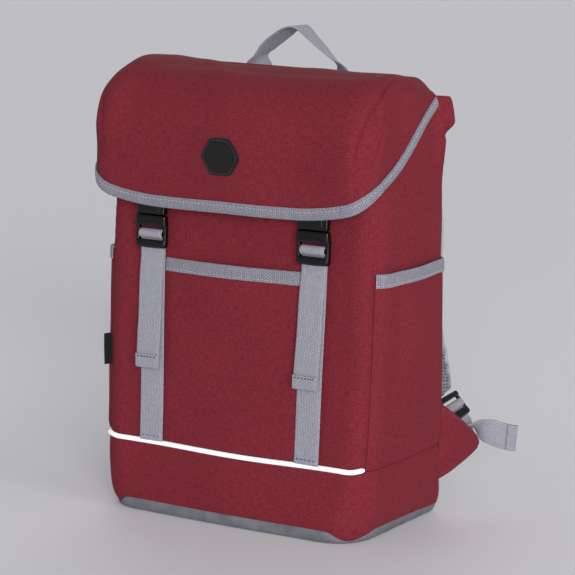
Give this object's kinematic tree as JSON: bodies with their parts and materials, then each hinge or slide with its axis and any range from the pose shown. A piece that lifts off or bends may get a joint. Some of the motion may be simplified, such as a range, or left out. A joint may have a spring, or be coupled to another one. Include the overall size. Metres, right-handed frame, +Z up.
{
  "type": "backpack",
  "caption": "Soft upright backpack with a hooded lid, buckled closing straps, flat front and side pockets, padded back and shoulder straps, and a webbing carrying handle.",
  "frame": {"origin": "on the flat underside of the base, below the middle of the bag", "axes": "+Z up, the front of the bag faces -Y, +X is the right-hand side as seen from the front"},
  "size_m": [0.3578, 0.2329, 0.4411],
  "materials": {
    "red_cloth": "matt wine-red woven polyester",
    "grey_webbing": "matt mid-grey woven webbing and tape",
    "grey_base": "matt dark grey coated cloth",
    "grey_mesh": "matt grey spacer mesh over foam",
    "black_plastic": "smooth black acetal",
    "black_patch": "matt black woven loop patch and label",
    "reflector": "white retroreflective piping"
  },
  "bodies": {
    "root": {"front_panel": "red_cloth", "side_panel_left": "red_cloth", "side_panel_right": "red_cloth", "lower_band": "red_cloth", "back_panel": "red_cloth", "lid_flap": "red_cloth", "flap_ridge": "red_cloth", "front_pocket": "red_cloth", "side_pocket_left": "red_cloth", "side_pocket_right": "red_cloth", "strap_tab_left": "red_cloth", "strap_tab_right": "red_cloth", "flap_binding": "grey_webbing", "front_pocket_binding": "grey_webbing", "side_pocket_binding_left": "grey_webbing", "side_pocket_binding_right": "grey_webbing", "front_strap_left": "grey_webbing", "front_strap_right": "grey_webbing", "buckle_hanger_left": "grey_webbing", "buckle_hanger_right": "grey_webbing", "top_handle": "grey_webbing", "strap_webbing_left": "grey_webbing", "strap_webbing_right": "grey_webbing", "buckle_plug_left": "black_plastic", "buckle_plug_right": "black_plastic", "buckle_socket_left": "black_plastic", "buckle_socket_right": "black_plastic", "ladder_lock_left": "black_plastic", "ladder_lock_right": "black_plastic", "flap_patch": "black_patch", "side_label": "black_patch", "base_panel": "grey_base", "back_pad": "grey_mesh", "shoulder_strap_left": "grey_mesh", "shoulder_strap_right": "grey_mesh", "reflective_piping": "reflector"}
  },
  "joints": []
}
